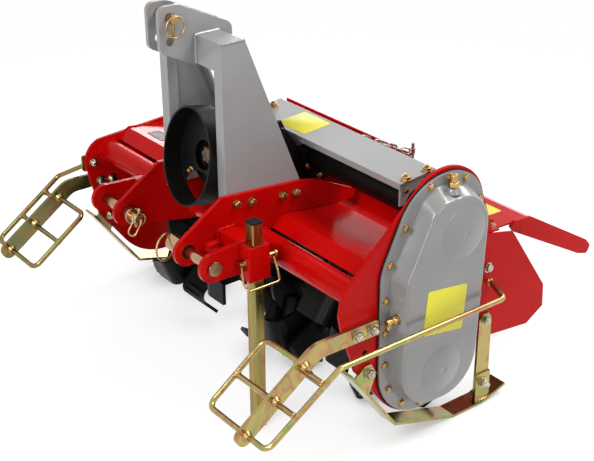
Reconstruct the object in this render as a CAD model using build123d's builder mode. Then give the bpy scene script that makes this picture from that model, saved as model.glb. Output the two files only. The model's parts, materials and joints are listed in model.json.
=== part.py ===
from build123d import *
from math import atan2, cos, degrees, hypot, radians, sin, tan
import os

# Rotary tiller for a compact tractor, in millimetres: +Z up, the tractor side faces -Y,
# the chain case is on +X.  x = 0 is the middle of the machine.
# y and z of every profile are measured from the lower hitch pins' axis.

HITCH_X = 36.0        # middle of the three-point hitch, offset from the machine's middle
HITCH_Y = -394.5      # lower hitch pins' axis
HITCH_Z = 405.0       # its height above the floor

SIDE_OUT = 490.0      # side plates' outer faces, each way from the middle
SIDE_T = 8.0
SIDE_IN = SIDE_OUT - SIDE_T

TUBE = (188.0, -33.0)     # front cross tube
TUBE_R = 28.0
ROTOR = (358.0, -215.0)   # rotor axis
ROTOR_TIP = 184.0     # tine tips, 6 mm above the floor
SHAFT = (398.0, 88.0)     # side drive shaft in its tube
SHAFT_TUBE_R = 33.0
HINGE = (588.0, -8.0)     # tail board hinge
GUARD_AT = (85.0, 147.0)  # middle of the input guard's rim; the input axis runs on to the side shaft
GEAR_TILT = atan2(GUARD_AT[1] - SHAFT[1], SHAFT[0] - GUARD_AT[0])
CHAIN_LUG = (462.0, 119.0)  # where the tail board's support chain hangs

ARM_T = 10.0          # hitch plates
ARM_IN = 116.0        # inner hitch plates' inner faces, from the hitch's middle
ARM_OUT = 208.0       # outer hitch plates' inner faces
HITCH_PIN_R = 11.0
TOP_PIN_R = 9.5
TOP_HOLE_R = 9.75
TOP_HOLES = (460.0, 411.0)
TOP_HOLE_Y = 45.0
MAST_TOP = 415.0
MAST_FRONT = 104.0
MAST_T = 6.0

LEG = (230.0, 92.0)   # stand leg, from the hitch's middle
LEG_SIDE = 27.0
LEG_GAP = 0.5         # round the leg in its sleeve
SLEEVE_ACROSS = 36.0
SLEEVE_ALONG = 50.0
SLEEVE_LOW = -45.0
SLEEVE_H = 76.0
LEG_TOP = 79.0
LEG_WALL = 4.0
STAND_PIN_R = 6.0
PIN_Z = -6.0          # stand pin, from the hitch's middle

STUB_R = 20.0
FIT = 0.05            # radial running clearance
SNUG = 0.02           # radial clearance of a pin that stays in place
ROD_R = 6.0           # guard rods


def side(x):
    """Plane across the machine at x: local x runs rearward, local y up."""
    return Plane(origin=(x, HITCH_Y, HITCH_Z), x_dir=(0, 1, 0), z_dir=(1, 0, 0))


def front(y):
    """Upright plane facing the tractor: local x is row x, local y up."""
    return Plane(origin=(0, HITCH_Y + y, HITCH_Z), x_dir=(1, 0, 0), z_dir=(0, -1, 0))


def level(z):
    """Level plane: local x is row x, local y runs rearward."""
    return Plane(origin=(0, HITCH_Y, HITCH_Z + z), z_dir=(0, 0, 1))


def at(x, y, z):
    """Point in the row frame."""
    return (x, HITCH_Y + y, HITCH_Z + z)


def gear(depth):
    """Plane across the input axis, depth behind the guard's rim: local y runs up."""
    origin = at(HITCH_X, GUARD_AT[0] + depth * cos(GEAR_TILT), GUARD_AT[1] - depth * sin(GEAR_TILT))
    return Plane(origin=origin, x_dir=(1, 0, 0), z_dir=(0, -cos(GEAR_TILT), sin(GEAR_TILT)))


def gear_point(depth, rise):
    """y and z of a point beside the input axis."""
    y = GUARD_AT[0] + depth * cos(GEAR_TILT) + rise * sin(GEAR_TILT)
    z = GUARD_AT[1] - depth * sin(GEAR_TILT) + rise * cos(GEAR_TILT)
    return (y, z)


def rounded(corners):
    """Closed outline of lines and arcs; corners are (y, z, radius)."""
    parts = []
    for i, (y, z, radius) in enumerate(corners):
        corner = Vector(y, z)
        before = (Vector(*corners[i - 1][:2]) - corner).normalized()
        after = (Vector(*corners[(i + 1) % len(corners)][:2]) - corner).normalized()
        half = radians(before.get_angle(after)) / 2
        reach = radius / tan(half)
        middle = corner + (before + after).normalized() * (radius / sin(half) - radius)
        parts.append((corner + before * reach, middle, corner + after * reach))
    for i, (start, middle, end) in enumerate(parts):
        ThreePointArc(start, middle, end)
        Line(end, parts[(i + 1) % len(parts)][0])


def sheet(points, thickness):
    """Outline of a bent sheet: the given top line and the same line moved below it."""
    normals = []
    for (y0, z0), (y1, z1) in zip(points, points[1:]):
        angle = atan2(z1 - z0, y1 - y0)
        normals.append((sin(angle), -cos(angle)))
    below = []
    for i, (y, z) in enumerate(points):
        before = normals[max(i - 1, 0)]
        after = normals[min(i, len(normals) - 1)]
        ny, nz = before[0] + after[0], before[1] + after[1]
        grow = thickness * 2 / hypot(ny, nz) ** 2
        below.append((y + ny * grow, z + nz * grow))
    return list(points) + below[::-1]


# ---------------------------------------------------------------- red frame

with BuildPart() as front_tube:
    with BuildSketch(side(-SIDE_IN)):
        with Locations(TUBE):
            Circle(TUBE_R)
            Circle(TUBE_R - 6, mode=Mode.SUBTRACT)
    extrude(amount=2 * SIDE_IN)

HOOD_TOP = [(212, -8), (243, 14), (395, -3), (425, -30), (452, -26), (466, 12), (572, 2)]
HOOD_T = 4.0
HINGE_ROD_R = 6.0
HINGE_EYE_R = 11.0
LUG_T = 8.0
LUGS = [-330.0, -130.0, 130.0, 330.0]

with BuildPart() as hood:
    with BuildSketch(side(-SIDE_IN)):
        Polygon(*sheet(HOOD_TOP, HOOD_T), align=None)
    extrude(amount=2 * SIDE_IN)
    for x in LUGS:
        with BuildSketch(side(x - LUG_T / 2)):
            Polygon((560, 3), (572, 2), (588, 3), (588, -19), (560, -10), align=None)
            with Locations(HINGE):
                Circle(HINGE_EYE_R)
                Circle(HINGE_ROD_R + SNUG, mode=Mode.SUBTRACT)
        extrude(amount=LUG_T)

# Both side plates share the rear outline and the shape below; the right one rises to the chain case's
# top, and what is low on the left one lies further to the front.
LEFT_AHEAD = 30.0
PLATE_REAR = [(546, 0), (546, -150), (470, -300)]
PLATE_LOW = [(470, -300), (356, -350), (245, -292)]
PORT = (199, -160)    # access hole in each side plate
PORT_R = 9.0
with BuildPart() as side_plate_right:
    with BuildSketch(side(SIDE_IN)):
        with BuildLine():
            Polyline(PLATE_LOW[2], (173, -195), (137, -85), (131, -55), (138, -11), (335, 170))
            ThreePointArc((335, 170), (410, 191), (508, 105))
            Polyline((508, 105), *PLATE_REAR)
            ThreePointArc(*PLATE_LOW)
        make_face()
        with Locations(ROTOR):
            Circle(STUB_R + FIT, mode=Mode.SUBTRACT)
        with Locations(PORT):
            Circle(PORT_R, mode=Mode.SUBTRACT)
    extrude(amount=SIDE_T)

with BuildPart() as side_plate_left:
    with BuildSketch(side(-SIDE_OUT)):
        with BuildLine():
            low = [(y - LEFT_AHEAD, z) for y, z in PLATE_LOW]
            Polyline(low[2], (173 - LEFT_AHEAD, -195), (137, -145), (124, -82))
            ThreePointArc((124, -82), (124, -26), (160, 3))
            Polyline((160, 3), (351, 17), (520, 29), *PLATE_REAR[:2], low[0])
            ThreePointArc(*low)
        make_face()
        with Locations(ROTOR):
            Circle(STUB_R + 3, mode=Mode.SUBTRACT)
        with Locations(PORT):
            Circle(PORT_R, mode=Mode.SUBTRACT)
    extrude(amount=SIDE_T)

ARM_TOP = [(88, 95), (285, 80), (336, 69), (447, 16), (436, -2), (396, -2), (243, 15), (211.5, -7.3)]
ARM_LOW = [TUBE, (188, -66), (150, -60)]
NOSE_R = 32.0
PIN_BOSS = 20.0       # boss of the pin on the inner plate
PIN_BOSS_R = 17.0
# name, where its inner plate starts, where its outer plate starts, pin boss start
ARMS = [
    ("right", HITCH_X + ARM_IN, HITCH_X + ARM_OUT, HITCH_X + ARM_IN - PIN_BOSS),
    ("left", HITCH_X - ARM_IN - ARM_T, HITCH_X - ARM_OUT - ARM_T, HITCH_X - ARM_IN),
]
hitch_arms = {}
for name, inner_x, outer_x, boss_x in ARMS:
    leg_x = HITCH_X + LEG[0]
    with BuildPart() as arm:
        with BuildSketch(side(inner_x)):
            Polygon((-21, 24), *ARM_TOP, *ARM_LOW, (6, -31.4), align=None)
            Circle(NOSE_R)
            with Locations(TUBE):
                Circle(TUBE_R, mode=Mode.SUBTRACT)
        extrude(amount=ARM_T)
        rear_y = LEG[1] - SLEEVE_ALONG / 2 if name == "right" else TUBE[0]
        with BuildSketch(side(outer_x)):
            Polygon((-4, 31.7), (rear_y, 36 if name == "right" else 20), (rear_y, -34), (0, -32), align=None)
            Circle(NOSE_R)
            with Locations(TUBE):
                Circle(TUBE_R, mode=Mode.SUBTRACT)
        extrude(amount=ARM_T)
        # boss of the pin on the inner plate and the box between the two plates
        with BuildSketch(side(boss_x)):
            Circle(PIN_BOSS_R)
        extrude(amount=PIN_BOSS)
        box_x = min(inner_x, outer_x) + ARM_T
        box_width = abs(outer_x - inner_x) - ARM_T
        if name == "right":
            box_width = leg_x - SLEEVE_ACROSS / 2 + 2 - box_x
        with BuildSketch(side(box_x)):
            Polygon((76, 26), (114, 26), (TUBE[0], -12), (TUBE[0], -40), (76, -32), align=None)
            with Locations(TUBE):
                Circle(TUBE_R, mode=Mode.SUBTRACT)
        extrude(amount=box_width)
        with BuildSketch(side(boss_x - 150)):
            Circle(HITCH_PIN_R + FIT)
        extrude(amount=300, mode=Mode.SUBTRACT)
        if name == "right":
            with BuildSketch(level(SLEEVE_LOW)):
                with Locations((leg_x, LEG[1])):
                    Rectangle(SLEEVE_ACROSS, SLEEVE_ALONG)
            extrude(amount=SLEEVE_H)
            with BuildSketch(level(SLEEVE_LOW)):
                with Locations((leg_x, LEG[1])):
                    Rectangle(LEG_SIDE + 2 * LEG_GAP, LEG_SIDE + 2 * LEG_GAP)
            extrude(amount=SLEEVE_H, mode=Mode.SUBTRACT)
            with BuildSketch(front(150)):
                with Locations((leg_x, PIN_Z)):
                    Circle(STAND_PIN_R + SNUG)
            extrude(amount=100, mode=Mode.SUBTRACT)
    arm.part.label = f"hitch_arm_{name}"
    hitch_arms[name] = arm

# ---------------------------------------------------------------- mast

# name, outer face x, direction to the inside
UPRIGHTS = [("right", HITCH_X + ARM_IN, -1), ("left", HITCH_X - ARM_IN, 1)]
FLANGE_W = 28.0
LIP_W = 24.0          # from the mast's front to the end of each front flange's lip
MAST_REAR = [(161.0, MAST_TOP), (296.0, 76.0)]
REAR_W = 30.0         # flange behind
REAR_TOP = 394.0      # its upper end, clear of the head
REAR_LOW = 80.0
REAR_IN = 1.0         # its outer face from the web's edge
HEAD_LOW = 355.0      # underside of the mast's head
rear_slope = (MAST_REAR[1][0] - MAST_REAR[0][0]) / (MAST_REAR[0][1] - MAST_REAR[1][1])
rear_top = MAST_REAR[0][0] + (MAST_TOP - REAR_TOP) * rear_slope - REAR_IN
rear_low = MAST_REAR[0][0] + (MAST_TOP - REAR_LOW) * rear_slope - REAR_IN
uprights = {}
for name, outer_x, inward in UPRIGHTS:
    with BuildPart() as upright:
        with BuildSketch(side(outer_x)):
            Polygon((MAST_FRONT, MAST_TOP), *MAST_REAR, (308, 36), (MAST_FRONT, 36), align=None)
        extrude(amount=inward * MAST_T)
        with BuildSketch(level(36)):
            with Locations((outer_x + inward * FLANGE_W / 2, MAST_FRONT + MAST_T / 2)):
                Rectangle(FLANGE_W, MAST_T)
        extrude(amount=MAST_TOP - 36)
        with BuildSketch(level(36)):
            with Locations((outer_x + inward * (FLANGE_W - MAST_T / 2), MAST_FRONT + LIP_W / 2)):
                Rectangle(MAST_T, LIP_W)
        extrude(amount=HEAD_LOW - 36)
        with BuildSketch(side(outer_x + inward * MAST_T / 2)):
            Polygon(
                (rear_top, REAR_TOP), (rear_low, REAR_LOW), (rear_low - MAST_T, REAR_LOW),
                (rear_top - MAST_T, REAR_TOP), align=None,
            )
        extrude(amount=inward * (REAR_W - MAST_T / 2))
    upright.part.label = f"mast_upright_{name}"
    uprights[name] = upright

EAR_GAP = 32.0
EAR_T = 10.0
EAR = [(20, 392, 18), (20, 484, 16), (66, 484, 24), (193, 424, 20), (193, 395, 12), (161, 352, 8), (100, 352, 20)]
HEAD_HALF = ARM_IN - MAST_T

with BuildPart() as mast_head:
    with BuildSketch(side(HITCH_X - HEAD_HALF)):
        Polygon((110, MAST_TOP), (161, MAST_TOP), (161, HEAD_LOW), (110, HEAD_LOW), align=None)
    extrude(amount=2 * HEAD_HALF)
    with BuildSketch(side(HITCH_X - ARM_IN + FLANGE_W)):
        Polygon((104, MAST_TOP), (110, MAST_TOP), (110, HEAD_LOW), (104, HEAD_LOW), align=None)
    extrude(amount=2 * (ARM_IN - FLANGE_W))
    with BuildSketch(side(HITCH_X - HEAD_HALF)):
        Polygon((112, 409), (155, 409), (155, 361), (112, 361), align=None)
    extrude(amount=2 * HEAD_HALF, mode=Mode.SUBTRACT)
    for x in (HITCH_X - EAR_GAP / 2 - EAR_T, HITCH_X + EAR_GAP / 2):
        with BuildSketch(side(x)):
            with BuildLine():
                rounded(EAR)
            make_face()
            with Locations((TOP_HOLE_Y, TOP_HOLES[0]), (TOP_HOLE_Y, TOP_HOLES[1])):
                Circle(TOP_HOLE_R, mode=Mode.SUBTRACT)
        extrude(amount=EAR_T)

with BuildPart() as top_link_pin:
    with BuildSketch(side(HITCH_X - 44)):
        with Locations((TOP_HOLE_Y, TOP_HOLES[0])):
            Circle(TOP_PIN_R)
    extrude(amount=88)
    with BuildSketch(side(HITCH_X - 38)):
        with Locations((TOP_HOLE_Y, TOP_HOLES[0])):
            Circle(14)
    extrude(amount=-6)

# name, inner end of the pin, head's start, head's direction
PINS = [
    ("right", HITCH_X + 78, HITCH_X + ARM_OUT + ARM_T + 0.5, 1),
    ("left", HITCH_X - 78, HITCH_X - ARM_OUT - ARM_T - 0.5, -1),
]
hitch_pins = {}
for name, inner_end, head_x, outward in PINS:
    with BuildPart() as pin:
        with BuildSketch(side(inner_end)):
            Circle(HITCH_PIN_R)
        extrude(amount=head_x - inner_end)
        with BuildSketch(side(head_x)):
            Circle(15)
        extrude(amount=outward * 7)
    pin.part.label = f"hitch_pin_{name}"
    hitch_pins[name] = pin

# ---------------------------------------------------------------- drive

PTO_R = 17.45         # 1 3/8 in. splined end
PTO_TIP = 51.0        # depths behind the guard's rim
PTO_LEN = 40.0
GEAR_FRONT = 100.0
PTO_IN = 70.0         # the shaft's smooth journal in the gearbox
JOURNAL_R = 16.0
BOSS_R = 36.0
GEAR_SIDE_R = 52.0    # flanges of the side shaft
with BuildPart() as gearbox:
    with BuildSketch(side(HITCH_X - 62)):
        Polygon(
            gear_point(GEAR_FRONT, 46), (300, 176), (336, 126), (452, 126), (452, 34), (392, 24), (222, 24),
            gear_point(GEAR_FRONT, -66), align=None,
        )
    extrude(amount=120)
    fillet(gearbox.edges().filter_by(Axis.X), radius=10)
    with BuildSketch(side(HITCH_X - 70)):
        Polygon((250, 14.5), (390, -1.5), (390, 30), (250, 30), align=None)
    extrude(amount=140)
    for x, width, radius in ((HITCH_X - 72, 20, GEAR_SIDE_R - 6), (HITCH_X + 50, 16, GEAR_SIDE_R)):
        with BuildSketch(side(x)):
            with Locations(SHAFT):
                Circle(radius)
        extrude(amount=width)
    with BuildSketch(side(HITCH_X - 1.5)):
        Polygon((448, 107), (448, 120), (460, 131), (460, 107), align=None)
        with Locations(CHAIN_LUG):
            Circle(12)
            Circle(6, mode=Mode.SUBTRACT)
    extrude(amount=3)
    with BuildSketch(gear(GEAR_FRONT)):
        Circle(BOSS_R)
    extrude(amount=GEAR_FRONT - PTO_TIP - PTO_LEN - 1)
    with BuildSketch(gear(PTO_TIP + PTO_LEN)):
        Circle(JOURNAL_R + FIT)
    extrude(amount=-PTO_IN - 2, mode=Mode.SUBTRACT)

with BuildPart() as pto_shaft:
    with BuildSketch(gear(PTO_TIP)):
        Circle(PTO_R)
    extrude(amount=-PTO_LEN)
    with BuildSketch(gear(PTO_TIP + PTO_LEN)):
        Circle(JOURNAL_R)
    extrude(amount=-PTO_IN)

GUARD_W, GUARD_H = 174.0, 216.0
GUARD_T = 4.0
GUARD_DEPTH = 48.0
with BuildPart() as pto_guard:
    with BuildSketch(gear(0)):
        Ellipse(GUARD_W / 2, GUARD_H / 2)
        Ellipse(GUARD_W / 2 - GUARD_T, GUARD_H / 2 - GUARD_T, mode=Mode.SUBTRACT)
    extrude(amount=-GUARD_DEPTH)
    # back plate, open round the shaft and at the bottom, on two spacers from the gearbox
    with BuildSketch(gear(GUARD_DEPTH)):
        Ellipse(GUARD_W / 2, GUARD_H / 2)
        Circle(PTO_R + 15, mode=Mode.SUBTRACT)
        with Locations((0, -88)):
            Ellipse(60, 50, mode=Mode.SUBTRACT)
    extrude(amount=GUARD_T)
    with BuildSketch(gear(GUARD_DEPTH)):
        Ellipse(GUARD_W / 2, GUARD_H / 2)
        Ellipse(GUARD_W / 2 - GUARD_T, GUARD_H / 2 - GUARD_T, mode=Mode.SUBTRACT)
    extrude(amount=GUARD_T)
    with BuildSketch(gear(GUARD_DEPTH)):
        with Locations((-48, 24), (46, 24)):
            Circle(9)
    extrude(amount=GUARD_DEPTH - GEAR_FRONT)

with BuildPart() as side_shaft_tube:
    with BuildSketch(side(HITCH_X + 66)):
        with Locations(SHAFT):
            Circle(SHAFT_TUBE_R)
            Circle(SHAFT_TUBE_R - 6, mode=Mode.SUBTRACT)
    extrude(amount=SIDE_IN - HITCH_X - 66)

COVER_FROM, COVER_TO = HITCH_X - 148, HITCH_X + 380
with BuildPart() as top_cover:
    with BuildSketch(side(COVER_FROM)):
        Polygon(*sheet([(345, 131), (345.5, 144), (443, 152), (443.5, 139)], 3), align=None)
    extrude(amount=COVER_TO - COVER_FROM)

with BuildPart() as cover_bracket:
    with BuildSketch(side(COVER_TO - 8)):
        Polygon((350, 92), (350, 141), (438, 148), (438, 92), align=None)
        with Locations(SHAFT):
            Circle(SHAFT_TUBE_R, mode=Mode.SUBTRACT)
    extrude(amount=5)

# ---------------------------------------------------------------- chain case

GASKET_T = 3.0
RIM_T = 5.0
BULGE = 43.0
CASE_WALL = 4.0
# corners with their radii: the flange's edge, and the foot and face of the raised part
CASE_RIM = [(230, 8, 100), (314, 183, 130), (509, 183, 100), (478.6, -343, 120), (230, -343, 120)]
CASE_FOOT = [(255, 2, 40), (345, 160, 60), (495, 160, 90), (474, -322, 100), (254, -322, 100)]
CASE_FACE = [(267, -12, 22), (340, 140, 50), (486, 140, 78), (463, -311, 90), (264, -311, 90)]
CASE_HOLLOW = [(272, -12, 22), (343, 134, 46), (480, 134, 73), (458, -305, 86), (269, -305, 86)]
DISHES = [(412, 62, 56), (366, -237, 52)]     # pressed cones in the face: y, z, radius

with BuildPart() as chain_gasket:
    with BuildSketch(side(SIDE_OUT)):
        with BuildLine():
            rounded(CASE_RIM)
        make_face()
        offset(amount=1.5)
        with Locations(ROTOR):
            Circle(60, mode=Mode.SUBTRACT)
    extrude(amount=GASKET_T)

# stamped shell: a flat flange, then a raised face; the hollow behind it is cut last
FACE = SIDE_OUT + GASKET_T
with BuildPart() as chain_cover:
    with BuildSketch(side(FACE)):
        with BuildLine():
            rounded(CASE_RIM)
        make_face()
    extrude(amount=RIM_T)
    for x, corners in ((FACE + RIM_T, CASE_FOOT), (FACE + BULGE, CASE_FACE)):
        with BuildSketch(side(x)):
            with BuildLine():
                rounded(corners)
            make_face()
    loft()
    fillet(chain_cover.faces().sort_by(Axis.X)[-1].edges(), radius=7)
    for y, z, radius in DISHES:
        for x, r in ((FACE + BULGE, radius), (FACE + BULGE + 6, 5)):
            with BuildSketch(side(x)):
                with Locations((y, z)):
                    Circle(r)
        loft()
    for x, corners in ((FACE, CASE_FOOT), (FACE + BULGE - CASE_WALL, CASE_HOLLOW)):
        with BuildSketch(side(x)):
            with BuildLine():
                rounded(corners)
            make_face()
    loft(mode=Mode.SUBTRACT)

BEARING_T = 14.0
BEARING_CAP = 10.0
with BuildPart() as rotor_bearing:
    with BuildSketch(side(-SIDE_OUT)):
        with Locations(ROTOR):
            Circle(58)
    extrude(amount=-BEARING_T)
    with BuildSketch(side(-SIDE_OUT - BEARING_T)):
        with Locations(ROTOR):
            Circle(36)
    extrude(amount=-BEARING_CAP)
    with BuildSketch(side(-SIDE_OUT)):
        with Locations(ROTOR):
            Circle(STUB_R + FIT)
    extrude(amount=-BEARING_T - 4, mode=Mode.SUBTRACT)

# ---------------------------------------------------------------- rotor with its tines

FLANGE_END = 114.0    # outer flanges from the side plates
FLANGE_PITCH = 2 * (SIDE_IN - FLANGE_END) / 5
FLANGES = [FLANGE_PITCH * (i - 2.5) for i in range(6)]
FLANGE_R = 84.0
FLANGE_T = 10.0
PIPE_R = 38.0
TINE_T = 8.0
TINE_W = 76.0         # width of a tine's bar
TINE_REACH = 84.0     # blade's end from its flange
TINE_BEND = 30.0      # outer radius of the bend from shank to blade
TINE_TAPER = 24.0     # cut off the blade's trailing corner
TINES = 3             # on each side of a flange
TURN = 7.6            # first tine's place round the shaft
TWIST = 75.9          # from one flange to the next
SIDE_TURN = 20.7      # from the tines on a flange's left to those on its right
# the bar's outer face, so that its edges stay within the rotor's tip circle
BAR_TIP = (ROTOR_TIP ** 2 - (TINE_W / 2) ** 2) ** 0.5


def tine_line(inset):
    """Shank, bend and blade from the flange out: distance from the flange, and from the rotor's axis."""
    bend = TINE_BEND - inset
    centre_x, centre_r = TINE_BEND, BAR_TIP - TINE_BEND
    half = bend * cos(radians(45))
    return [
        (inset, PIPE_R + 4), (inset, centre_r), (centre_x - half, centre_r + half),
        (centre_x, BAR_TIP - inset), (TINE_REACH, BAR_TIP - inset),
    ]


# a tine with its shank up and its blade to the right: a bent bar with one corner cut
with BuildPart() as tine:
    with BuildSketch():
        with BuildLine():
            outer, inner = tine_line(0), tine_line(TINE_T)
            for line in (outer, inner):
                Line(line[0], line[1])
                ThreePointArc(line[1], line[2], line[3])
                Line(line[3], line[4])
            Line(outer[0], inner[0])
            Line(outer[4], inner[4])
        make_face()
    extrude(amount=TINE_W / 2, both=True)
    with BuildSketch(Plane.ZX):
        low = -TINE_W / 2
        Polygon((low, TINE_BEND), (low, TINE_REACH), (low + TINE_TAPER, TINE_REACH), align=None)
    extrude(amount=BAR_TIP + 1, mode=Mode.SUBTRACT)
with BuildPart() as tine_left:
    mirror(tine.part, about=Plane.YZ)

with BuildPart() as rotor:
    with BuildSketch(side(-SIDE_IN + 8)):
        with Locations(ROTOR):
            Circle(PIPE_R)
    extrude(amount=2 * (SIDE_IN - 8))
    with BuildSketch(side(-SIDE_OUT - BEARING_T)):
        with Locations(ROTOR):
            Circle(STUB_R)
    extrude(amount=2 * SIDE_OUT + BEARING_T + 10)
    for x in FLANGES:
        with BuildSketch(side(x - FLANGE_T / 2)):
            with Locations(ROTOR):
                Circle(FLANGE_R)
        extrude(amount=FLANGE_T)
    tines = []
    for i, x in enumerate(FLANGES):
        for bar, toward, turn in ((tine, 1, SIDE_TURN), (tine_left, -1, 0.0)):
            for k in range(TINES):
                place = radians(TURN + i * TWIST + turn + k * 360 / TINES)
                origin = at(x + toward * FLANGE_T / 2, *ROTOR)
                spot = Plane(origin=origin, x_dir=(1, 0, 0), z_dir=(0, -sin(place), cos(place)))
                tines.append(spot.location * bar.part)
    add(tines)

# ---------------------------------------------------------------- tail board

BOARD_HALF = 448.0
BOARD_T = 4.0
BOARD_EDGE = 8.0      # flange along each side
BOARD_TOP = [(602, -16), (695, -20), (905, -147)]
BOARD_SIDE = [
    (636, -24, 3), (648, -13, 8), (699, -17, 10), (893, -133, 10), (910, -152, 9), (900, -171, 8),
    (868, -161, 20), (646, -38, 8),
]
# middle and width of the hinge knuckles between the hood's lugs
KNUCKLES = [(-410.0, 60.0), (-230.0, 120.0), (0.0, 120.0), (230.0, 120.0), (410.0, 60.0)]
with BuildPart() as tail_board:
    with BuildSketch(side(-BOARD_HALF)):
        Polygon(*sheet(BOARD_TOP, BOARD_T), align=None)
    extrude(amount=2 * BOARD_HALF)
    for x, toward in ((BOARD_HALF, 1), (-BOARD_HALF, -1)):
        with BuildSketch(side(x)):
            with BuildLine():
                rounded(BOARD_SIDE)
            make_face()
        extrude(amount=toward * BOARD_EDGE)
    for x, width in KNUCKLES:
        with BuildSketch(side(x - width / 2)):
            Polygon((588, -12), (606, -16.2), (606, -19), (588, -19), align=None)
            with Locations(HINGE):
                Circle(HINGE_EYE_R)
                Circle(HINGE_ROD_R + FIT, mode=Mode.SUBTRACT)
        extrude(amount=width)
    with BuildSketch(side(18 - BOARD_HALF)):
        Polygon((700, -24), (704, -26), (704, 2), (700, 2), align=None)
    extrude(amount=500)

ROD_END = 4.0         # hinge rod beyond the board on each side
with BuildPart() as hinge_rod:
    with BuildSketch(side(-BOARD_HALF - ROD_END)):
        with Locations(HINGE):
            Circle(HINGE_ROD_R)
    extrude(amount=2 * (BOARD_HALF + ROD_END))

# ---------------------------------------------------------------- wings, skids, guards

WING_T = 4.0
with BuildPart() as wing_right:
    with BuildSketch(side(SIDE_OUT)):
        Polygon((515, 12), (601, -8), (713, -173), (716, -228), (667, -257), (515, -240), align=None)
    extrude(amount=WING_T)

SKID_FRONT = [(152, -186), (272, -348)]
SKID_REAR = [(440, -399), (528, -399), (596, -378)]
SKID_TAB = [(168, -208), (205, -259), (224, -212), (210, -186), (194, -186)]
SKID_T = 6.0
SKID_W = 44.0
SKID_IN = SIDE_OUT - 26.0     # inner edge, under the side plate
skids = {}
for name, ahead in (("right", 0.0), ("left", LEFT_AHEAD)):
    with BuildPart() as skid:
        with BuildSketch(side(SKID_IN)):
            Polygon(*sheet([(y - ahead, z) for y, z in SKID_FRONT] + SKID_REAR, SKID_T), align=None)
        extrude(amount=SKID_W)
        with BuildSketch(side(SIDE_OUT)):
            Polygon(*[(y - ahead, z) for y, z in SKID_TAB], align=None)
        extrude(amount=SKID_T)
        with BuildSketch(side(SIDE_OUT + WING_T)):
            Polygon((511, -194), (520, -181), (538, -181), (547, -194), (549, -400), (509, -400), align=None)
        extrude(amount=SKID_T)
        with BuildSketch(side(SIDE_OUT + WING_T + SKID_T)):
            Polygon((508, -328), (550, -328), (550, -400), (508, -400), align=None)
        extrude(amount=4)
        if name == "left":
            mirror(about=Plane.YZ, mode=Mode.REPLACE)
    skids[name] = skid

# guard: flat bar on the side plate, one bent rod round it, two cross rods; its rod runs back to the wing
# on the right, and to a tab on the front of the side plate on the left
BAR = [(226, -86, 8), (60, -86, 60), (-132, -220, 18), (-109, -253, 18), (81, -121, 35), (226, -121, 8)]
BAR_T = 8.0
BEND_R = 18.0
ROD_IN = SIDE_OUT - 122.0
ROD_OUT = SIDE_OUT + 70.0
ROD_FRONT = [
    at(SIDE_OUT + BAR_T / 2, 41, -125), at(ROD_IN, 41, -125), at(ROD_IN, -99, -225),
    at(ROD_OUT, -99, -225),
]
TAB_T = 6.0
ROD_BACK = {
    "right": [at(ROD_OUT, 76, -112), at(ROD_OUT, 517, -112), at(SIDE_OUT + WING_T + ROD_R, 540, -110)],
    "left": [at(ROD_OUT, 77, -101), at(SIDE_OUT + TAB_T - 1, 124, -60)],
}
# where each cross rod starts, and its y and z
CROSS_RODS = [(SIDE_OUT, 38, -134), (ROD_IN, -30, -179)]
guards = {}
for name, rod_back in ROD_BACK.items():
    with BuildPart() as guard:
        with BuildSketch(side(SIDE_OUT)):
            with BuildLine():
                rounded(BAR)
            make_face()
        extrude(amount=BAR_T)
        with BuildLine() as bent_rod:
            FilletPolyline(*ROD_FRONT, *rod_back, radius=BEND_R)
        with BuildSketch(Plane(origin=bent_rod.line @ 0, z_dir=bent_rod.line % 0)):
            Circle(ROD_R)
        sweep()
        for x, y, z in CROSS_RODS:
            with BuildSketch(side(x)):
                with Locations((y, z)):
                    Circle(ROD_R)
            extrude(amount=ROD_OUT - x)
        if name == "left":
            with BuildSketch(side(SIDE_OUT)):
                with BuildLine():
                    rounded([(112, -34, 6), (152, -34, 6), (152, -76, 6), (112, -76, 6)])
                make_face()
            extrude(amount=TAB_T)
            mirror(about=Plane.YZ, mode=Mode.REPLACE)
    guards[name] = guard

with BuildPart() as wing_left:
    mirror(wing_right.part, about=Plane.YZ)

# ---------------------------------------------------------------- stand and support chain

with BuildPart() as stand_leg:
    with BuildSketch(level(-HITCH_Z)):
        with Locations((HITCH_X + LEG[0], LEG[1])):
            RectangleRounded(LEG_SIDE, LEG_SIDE, 4)
            RectangleRounded(LEG_SIDE - 2 * LEG_WALL, LEG_SIDE - 2 * LEG_WALL, 1, mode=Mode.SUBTRACT)
    extrude(amount=HITCH_Z + LEG_TOP)

with BuildPart() as stand_cap:
    with BuildSketch(level(LEG_TOP)):
        with Locations((HITCH_X + LEG[0], LEG[1])):
            RectangleRounded(LEG_SIDE, LEG_SIDE, 4)
    extrude(amount=4)

CLIP_Y = (LEG[1] - SLEEVE_ALONG / 2 - 8, LEG[1] + SLEEVE_ALONG / 2 + 20)
CLIP = [(0, 0, 0), (6, 0, -44), (24, 0, -52), (24, 1, -52), (18, 1, -30), (0, 1, 0)]
with BuildPart() as stand_pin:
    for y, length in ((LEG[1] - SLEEVE_ALONG / 2 + 4, 18), (LEG[1] + SLEEVE_ALONG / 2 + 26, 30)):
        with BuildSketch(front(y)):
            with Locations((HITCH_X + LEG[0], PIN_Z)):
                Circle(STAND_PIN_R)
        extrude(amount=length)
    with BuildLine() as clip_line:
        clip_points = [at(HITCH_X + LEG[0] + x, CLIP_Y[end], PIN_Z + z) for x, end, z in CLIP]
        FilletPolyline(*clip_points, radius=5)
    with BuildSketch(Plane(origin=clip_line.line @ 0, z_dir=clip_line.line % 0)):
        Circle(2.5)
    sweep()

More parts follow.
